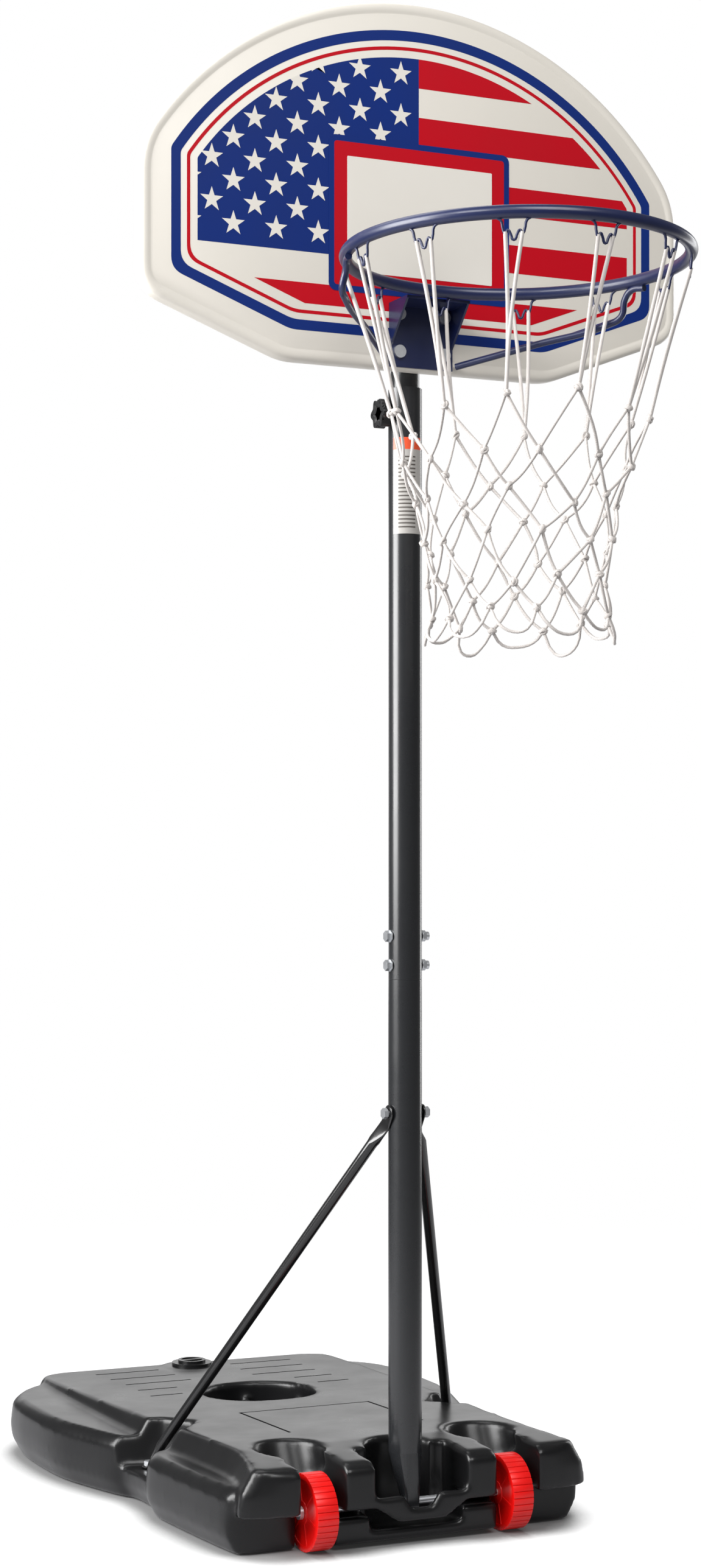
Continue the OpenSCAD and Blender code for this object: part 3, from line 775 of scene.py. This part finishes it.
def clipped(subject, region):
    """The part of a polygon inside a convex region whose points run anticlockwise."""
    kept = subject
    for (ax, az), (bx, bz) in zip(region, region[1:] + region[:1]):
        def inside(p):
            return (bx - ax) * (p[1] - az) - (bz - az) * (p[0] - ax) >= -1e-9
        source, kept = kept, []
        for p, q in zip(source, source[1:] + source[:1]):
            if inside(p) != inside(q):
                dx, dz = q[0] - p[0], q[1] - p[1]
                across = (bx - ax) * dz - (bz - az) * dx
                t = ((bz - az) * (p[0] - ax) - (bx - ax) * (p[1] - az)) / across
                cut = (p[0] + t * dx, p[1] + t * dz)
                kept += [cut, q] if inside(q) else [cut]
            elif inside(q):
                kept.append(q)
        if len(kept) < 3:
            return []
    return kept


def box_outline(x0, x1, z0, z1):
    return [(x0, z0), (x1, z0), (x1, z1), (x0, z1)]


CORNERS = (0.010, 0.016, 0.004)
FIELD = board_outline(0.3175, 0.3875, 0.080, 1.6298, (0.002, 0.002, 0.002))
printed("print_blue_border", [board_outline(0.3535, 0.4232, 0.0400, 1.5945, CORNERS),
                              board_outline(0.3405, 0.4098, 0.0535, 1.6080, CORNERS)], ink_blue, 0)
printed("print_red_line", [board_outline(0.3320, 0.4018, 0.0620, 1.6165, CORNERS),
                           board_outline(0.3275, 0.3973, 0.0665, 1.6210, CORNERS)], ink_red, 0)

# %% Stars and bars
CANTON_RIGHT, CANTON_LOW = -0.002, 1.6968
BAR_TOP, BAR = 1.9290, 0.03875
canton = clipped(FIELD, box_outline(-0.4, CANTON_RIGHT, CANTON_LOW, 2.1))
printed("print_blue_field", [canton], ink_blue, 0)
bars = [clipped(FIELD, box_outline(CANTON_RIGHT, 0.4, BAR_TOP, 2.1))]
for index in (1, 3, 5):
    top = BAR_TOP - index * BAR
    bars.append(clipped(FIELD, box_outline(CANTON_RIGHT, 0.4, top - BAR * 0.975, top)))
bars.append(clipped(FIELD, box_outline(-0.4, 0.4, 1.60, 1.6566)))
printed("print_red_bars", bars, ink_red, 0)


def star(x, z, radius):
    """A five-pointed star standing on two points."""
    points = []
    for tip in range(10):
        reach = radius if tip % 2 == 0 else radius * 0.39
        angle = math.pi / 2 + tip * math.pi / 5
        points.append((x + reach * math.cos(angle), z + reach * math.sin(angle)))
    return points


STAR_R = 16.5 * MM
stars = []
for column in range(-1, 10):
    for level in range(9):
        over_square = column >= 6 and level < 5
        if (column + level) % 2 == 1 and not over_square:
            shape = clipped(star(-0.2980 + 0.02995 * column, 1.7234 + 0.02775 * level, STAR_R), canton)
            if shape:
                stars.append(shape)
printed("print_cream_stars", stars, ink_cream, 1)
print("stars", len(stars))

# %% [markdown]
# The shooter's square is three nested rounded rectangles: a thin blue outline, a broad red
# band and a plain cream middle.

# %% Shooter's square
SQUARE_HALF, SQUARE_LOW, SQUARE_HIGH = 0.107, 1.677, 1.828


def rectangle(grow, corner):
    """The square's outline, grown all round, with corners of the given radius."""
    x1, z0, z1 = SQUARE_HALF + grow, SQUARE_LOW - grow, SQUARE_HIGH + grow
    points = []
    for cx, cz, start in ((x1 - corner, z1 - corner, 0), (-x1 + corner, z1 - corner, 90),
                          (-x1 + corner, z0 + corner, 180), (x1 - corner, z0 + corner, 270)):
        for step in range(6):
            angle = math.radians(start + 18 * step)
            points.append((cx + corner * math.cos(angle), cz + corner * math.sin(angle)))
    return points


printed("print_square_outline", [rectangle(0.0265, 0.010)], ink_blue, 2)
printed("print_square_band", [rectangle(0.0185, 0.004)], ink_red, 3)
printed("print_square_middle", [rectangle(0.0, 0.0015)], ink_cream, 4)

# %% [markdown]
# ## Rim hooks and braces
# The net hangs on bent wire hooks welded under the rim: each one drops from the rim, turns up
# in two small seats for the cord and meets in a V. The brace rods run from the foot of the
# bracket out to the rim's sides, where an S-bend brings them up to the tube.

# %% Wire hooks
HOOKS = 12
HOOK_SHAPE = [(-20, 1.5), (-15, -2), (-12.5, -12), (-10, -16.5), (-7, -13), (-4, -17), (0, -24),
              (4, -17), (7, -13), (10, -16.5), (12.5, -12), (15, -2), (20, 1.5)]
SEAT_T, SEAT_Z = 10.0 * MM, -14.5 * MM


def on_rim(angle, along, up, out=0.0):
    """A point near the rim: along its tangent, up from its underside and out from its circle."""
    radius = RING_R + out
    x = radius * math.cos(angle) - along * math.sin(angle)
    y = RING_Y + radius * math.sin(angle) + along * math.cos(angle)
    return Vector((x, y, RING_Z - TUBE_R + up))


hooks = []
for index in range(HOOKS):
    angle = math.radians(index * 360 / HOOKS)
    path = [on_rim(angle, t * MM, z * MM, -0.5 * abs(z) * MM * 0.2) for t, z in HOOK_SHAPE]
    hooks.append(rod("hook", path, 1.7 * MM, resolution=4))
hook_wires = join("hook_wires", hooks)
smooth(hook_wires, 60)
settle(hook_wires, "net_hook_wires", "board_carriage", navy_enamel, "rim_navy", "net_hooks")

# %% Brace rods
for side, label in ((-1, "left"), (1, "right")):
    reach = math.radians(71)
    rim_point = Vector((side * RING_R * math.sin(reach), RING_Y + RING_R * math.cos(reach),
                        RING_Z - TUBE_R - 3 * MM))
    start = Vector((side * 0.050, BOARD_FACE_Y - 0.006, BOARD_BOTTOM + 0.008))
    bend = rim_point + Vector((-side * 0.003, 0.019, -0.036))
    along = Vector((side * math.cos(reach), -math.sin(reach), 0))
    path = [start, start.lerp(bend, 0.5), start.lerp(bend, 0.93),
            bend + along * 0.004 + Vector((0, 0, 0.006)),
            rim_point - along * 0.006 + Vector((0, 0, -0.010)), rim_point + along * 0.004,
            rim_point + along * 0.026]
    brace = rod("brace", path, 4.5 * MM, resolution=8)
    smooth(brace, 60)
    settle(brace, "rim_brace_rod_" + label, "board_carriage", navy_enamel, "rim_navy",
           "rim_brace_" + label)

# %% [markdown]
# ## The net
# The net is one knotted cord. Two strands leave each hook and meet in a first knot, and below
# it the strands part and meet again in a lattice that narrows and then ends in open loops.
# Knots sit on a few rings whose radius follows the hanging shape. Small seeded shifts and
# slack keep it from looking like a machine's drawing.

# %% Net knots
random.seed(12)
NET_ROWS = [(1.450, 0.160), (1.388, 0.141), (1.338, 0.123), (1.289, 0.115), (1.241, 0.111),
            (1.199, 0.112)]
CORD_R, DOUBLE_R = 2.0 * MM, 2.5 * MM


def on_net(angle, radius, z):
    return Vector((radius * math.cos(angle), RING_Y + radius * math.sin(angle), z))


knots = []
for level, (z, radius) in enumerate(NET_ROWS):
    ring = []
    for index in range(HOOKS):
        half_step = 0.0 if level % 2 == 0 else 0.5
        angle = math.radians((index + half_step) * 360 / HOOKS + random.uniform(-4, 4))
        ring.append(on_net(angle, radius + random.uniform(-5, 5) * MM, z + random.uniform(-9, 9) * MM))
    knots.append(ring)


# %% Net cords
def new_cord_curve(name, radius):
    curve = bpy.data.curves.new(name, "CURVE")
    curve.dimensions = "3D"
    curve.bevel_depth = radius
    curve.bevel_resolution = 2
    curve.resolution_u = 3
    curve.use_fill_caps = True
    return curve


def strand(curve, a, b, slack):
    """One strand from a to b, bowed sideways and down by a little slack."""
    bow = Vector((random.uniform(-1, 1), random.uniform(-1, 1), -0.6)) * slack
    points = [a, a.lerp(b, 0.3) + bow * 0.8, a.lerp(b, 0.65) + bow, b]
    add_spline(curve, points)


upper_cords = new_cord_curve("upper_cords", DOUBLE_R)
for index in range(HOOKS):
    angle = math.radians(index * 360 / HOOKS)
    for sign in (-1, 1):
        seat = on_rim(angle, sign * SEAT_T, SEAT_Z, -0.001)
        strand(upper_cords, seat, knots[0][index], 3 * MM)
lattice = new_cord_curve("lattice", CORD_R)
for level in range(len(NET_ROWS) - 1):
    for index in range(HOOKS):
        # Rows alternate by half a step, so the neighbours differ on odd and even rows.
        other = (index - 1) % HOOKS if level % 2 == 0 else (index + 1) % HOOKS
        for target in (index, other):
            strand(lattice, knots[level][index], knots[level + 1][target], 4 * MM)
last_row = knots[-1]
for index in range(HOOKS):
    a, b = last_row[index], last_row[(index + 1) % HOOKS]
    middle = (a + b) / 2
    outward = Vector((middle.x, middle.y - RING_Y, 0)).normalized()
    dip_z = -random.uniform(14, 30) * MM
    flare = outward * random.uniform(4, 14) * MM
    low_left = a.lerp(b, 0.2) + Vector((0, 0, dip_z * 0.8)) + flare
    low_right = a.lerp(b, 0.8) + Vector((0, 0, dip_z)) + flare
    add_spline(lattice, [a, low_left, middle + Vector((0, 0, dip_z * 1.15)) + flare, low_right, b])
cord_length = sum(spline.calc_length() for curve in (upper_cords, lattice) for spline in curve.splines)
print("net cord length", round(cord_length, 2), "m, along the drawn curves and without knots")

# %% [markdown]
# A knot in cord is a small tight lump of two crossing turns. Two little rings at right angles
# give that shape with few faces, so it can be copied to every place in the lattice.

# %% Knots
bpy.ops.object.select_all(action="DESELECT")
bpy.ops.mesh.primitive_torus_add(major_radius=3.7 * MM, minor_radius=2.7 * MM, major_segments=10,
                                 minor_segments=6)
turn_a = bpy.context.active_object
bpy.ops.mesh.primitive_torus_add(major_radius=3.0 * MM, minor_radius=2.3 * MM, major_segments=10,
                                 minor_segments=6, rotation=(math.radians(78), 0, math.radians(30)))
turn_b = bpy.context.active_object
knot_pattern = join("knot_pattern", [turn_a, turn_b])
pick(knot_pattern)
bpy.ops.object.transform_apply(location=True, rotation=True, scale=True)
lumps = []
for ring in knots:
    for place in ring:
        lump = knot_pattern.copy()
        lump.data = knot_pattern.data.copy()
        lump.location = place
        lump.rotation_euler = [random.uniform(0, math.pi) for _ in range(3)]
        bpy.context.collection.objects.link(lump)
        lumps.append(lump)
bpy.data.objects.remove(knot_pattern)
net_piece = join("net_cord", [curve_to_mesh("upper_cords", upper_cords),
                              curve_to_mesh("lattice_cords", lattice)] + lumps)
smooth(net_piece, 60)
settle(net_piece, "net_knotted_cord", "board_carriage", braided_nylon, "net_nylon", "net")
print("net faces", len(net_piece.data.polygons))

# %% [markdown]
# ## The struts
# Each strut is a round tube whose two ends are pressed flat. At the top the flat end lies
# against the pole under the bolt head, then bends outwards. At the bottom it lies in the
# notch of the base. Sections with a changing width and thickness are lofted along the line.

# %% Struts
STRUT_R = 7.5 * MM
FLAT_HALF_W, FLAT_HALF_T = 11.5 * MM, 1.5 * MM


def strut_section(centre, across, through, half_w, half_t, corners=28):
    """A rounded ring around centre; thin sections turn squarer."""
    power = 1.0 if half_t > 0.8 * half_w else 0.6
    ring = []
    for i in range(corners):
        c, s = math.cos(2 * math.pi * i / corners), math.sin(2 * math.pi * i / corners)
        w = math.copysign(abs(c) ** power, c) * half_w
        t = math.copysign(abs(s) ** power, s) * half_t
        ring.append(centre + across * w + through * t)
    return ring


def pole_place(x, y, z):
    """A point given in millimetres from the foot of the pole."""
    return Vector((x * MM, POLE_Y + y * MM, z * MM))


eye_at, upper, lower = pole_place(24.4, 0, 568), pole_place(36.5, 26, 526), pole_place(228, 316, 80)
foot_at = pole_place(242, 328, 48.6)
axis = (lower - upper).normalized()
slope = Vector((0, axis.y, axis.z)).normalized()
across_top, through_top = Vector((0, -slope.z, slope.y)), Vector((1, 0, 0))
flat = Vector((foot_at.x - lower.x, foot_at.y - lower.y, 0)).normalized()
across_foot, upwards = Vector((-flat.y, flat.x, 0)), Vector((0, 0, 1))
rings = []
for t in (-11.4, -10.6, -9, -6, -2, 4, 12, 20):
    half_w = FLAT_HALF_W * math.sqrt(max(0.03, 1 - (min(t, 0) / 11.5) ** 2))
    rings.append(strut_section(eye_at + slope * t * MM, across_top, through_top, half_w, FLAT_HALF_T))
bend_at = eye_at + slope * 20 * MM
out_of = axis.cross(across_top)
out_of = out_of if out_of.x > 0 else -out_of
for mix, open_up in ((0.3, 0.15), (0.55, 0.45), (0.8, 0.8), (1.0, 1.0)):
    rings.append(strut_section(bend_at.lerp(upper, mix), across_top,
                               through_top.lerp(out_of, mix).normalized(),
                               FLAT_HALF_W + (STRUT_R - FLAT_HALF_W) * open_up,
                               FLAT_HALF_T + (STRUT_R - FLAT_HALF_T) * open_up))
for share in (0.05, 0.3, 0.6, 0.95):
    across = (across_top - axis * across_top.dot(axis)).normalized()
    rings.append(strut_section(upper.lerp(lower, share), across, out_of, STRUT_R, STRUT_R))
strut = loft("strut", rings)
through_low = axis.cross(across_foot)
through_low = through_low if through_low.z > 0 else -through_low
toe = [(upper.lerp(lower, 0.93), through_low, 7.5, 7.5), (lower, through_low, 7.5, 7.5),
       (lower.lerp(foot_at, 0.5), through_low, 9, 5), (lower.lerp(foot_at, 0.85), upwards, 11, 2.4),
       (foot_at, upwards, 11, 2.4), (foot_at + flat * 7 * MM, upwards, 8.6, 2.4),
       (foot_at + flat * 11 * MM, upwards, 2, 2.2)]
foot = loft("strut_foot", [strut_section(centre, across_foot, through, w * MM, t * MM)
                           for centre, through, w, t in toe])
strut_right = join("strut", [strut, foot])
smooth(strut_right, 50)
strut_left = strut_right.copy()
strut_left.data = strut_right.data.copy()
bpy.context.collection.objects.link(strut_left)
pick(strut_left)
strut_left.scale.x = -1
bpy.ops.object.transform_apply(location=True, rotation=True, scale=True)
bpy.ops.object.mode_set(mode="EDIT")
bpy.ops.mesh.select_all(action="SELECT")
bpy.ops.mesh.normals_make_consistent(inside=False)
object_mode()
smooth(strut_left, 50)
for tube, label in ((strut_left, "left"), (strut_right, "right")):
    settle(tube, "strut_tube_" + label, "base", black_enamel, "black_enamel", "strut_" + label)
print("strut tubes", 2)

# %% [markdown]
# ## The middle tube of the pole
# The middle tube is pushed over the narrowed end of the lower one. Its rims are filed off, so
# a fine line shows where the two meet.

# %% Middle tube
MIDDLE_BOTTOM, MIDDLE_TOP = 0.7472, 1.538
WALL = 1.5 * MM
middle_at = (0, POLE_Y, (MIDDLE_TOP + MIDDLE_BOTTOM) / 2)
middle = cylinder(POLE_R, MIDDLE_TOP - MIDDLE_BOTTOM, middle_at, sides=128)
bore = cylinder(POLE_R - WALL, 1.0, middle_at, sides=128)
combine(middle, bore, "DIFFERENCE")
apply_modifier(middle, "BEVEL", width=0.7 * MM, segments=2, limit_method="ANGLE",
               angle_limit=math.radians(50))
smooth(middle, 20)
settle(middle, "middle_pole_tube", "base", powder_coat, "powder_coat", "middle_pole")

# %% [markdown]
# ## The clamp knob
# The knob is a thick disc with six round lobes, moulded over the head of its stud. A lobed
# outline is pulled out and bevelled.

# %% Knob
KNOB_R, LOBES = 20 * MM, 6
knob_y, knob_z = POLE_Y, (knob_low[2] + knob_high[2]) / 2
outline = []
for step in range(72):
    angle = 2 * math.pi * step / 72
    radius = KNOB_R * (0.90 + 0.12 * math.cos(LOBES * angle))
    outline.append((knob_low[0], knob_y + radius * math.cos(angle), knob_z + radius * math.sin(angle)))
knob = prism("knob", outline, (14 * MM, 0, 0))
select_faces(knob, lambda c, n: n.x < -0.9)
bpy.ops.mesh.inset(thickness=6 * MM)
bpy.ops.mesh.inset(thickness=1.5 * MM)
bpy.ops.transform.translate(value=(2.0 * MM, 0, 0))
object_mode()
apply_modifier(knob, "BEVEL", width=2.2 * MM, segments=3, limit_method="ANGLE",
               angle_limit=math.radians(50))
collar = cylinder(10 * MM, 5 * MM, (knob_low[0] + 15.5 * MM, knob_y, knob_z), "X")
combine(knob, collar, "UNION")
smooth(knob, 35)
settle(knob, "clamp_knob_grip", "clamp", knob_plastic, "knob_plastic", "height_knob")

# %% [markdown]
# ## The label
# A vinyl label is wrapped round the front of the pole below the knob. It carries no words
# here, only an orange head and plain grey rules on a pale sheet. A flat grid would float, so
# each part is a strip that follows the tube.

# %% Label
LABEL_FROM, LABEL_TO = math.radians(-160), math.radians(-54)


def pole_patch(z0, z1, lift, start=LABEL_FROM, end=LABEL_TO, steps=24):
    """A thin sheet that follows the pole between two heights and two angles."""
    radius = POLE_R + lift
    ring = [(radius * math.cos(start + (end - start) * i / steps),
             POLE_Y + radius * math.sin(start + (end - start) * i / steps)) for i in range(steps + 1)]
    points = [(x, y, z) for z in (z0, z1) for x, y in ring]
    faces = [[i, i + 1, steps + 2 + i, steps + 1 + i] for i in range(steps)]
    return sheet_mesh("patch", points, faces)


vinyl_pale = finish_with("pale_vinyl_label", "A9A6A2", 0.35, "9E9B97", 20, 1.0, 0.04)
vinyl_orange = finish_with("orange_vinyl_label", "D9502B", 0.35, "CC4522", 20, 1.0, 0.04)
vinyl_grey = finish_with("grey_printed_rule", "55504C", 0.4, "4A4642", 20, 1.0, 0.04)
LABEL_LOW, HEAD_LOW, LABEL_HIGH = 1.342, 1.4545, 1.4705
RULES, RULE_LOW, RULE_PITCH, RULE_H = 19, 1.350, 0.0052, 0.0019
settle(pole_patch(LABEL_LOW, HEAD_LOW, 0.25 * MM), "label_sheet", "base", vinyl_pale, "powder_coat")
settle(pole_patch(HEAD_LOW, LABEL_HIGH, 0.25 * MM), "label_head", "base", vinyl_orange, "powder_coat")
rules = []
for i in range(RULES):
    low = RULE_LOW + RULE_PITCH * i
    rules.append(pole_patch(low, low + RULE_H, 0.4 * MM, math.radians(-140), math.radians(-80), 12))
settle(join("rules", rules), "label_rules", "base", vinyl_grey, "powder_coat")
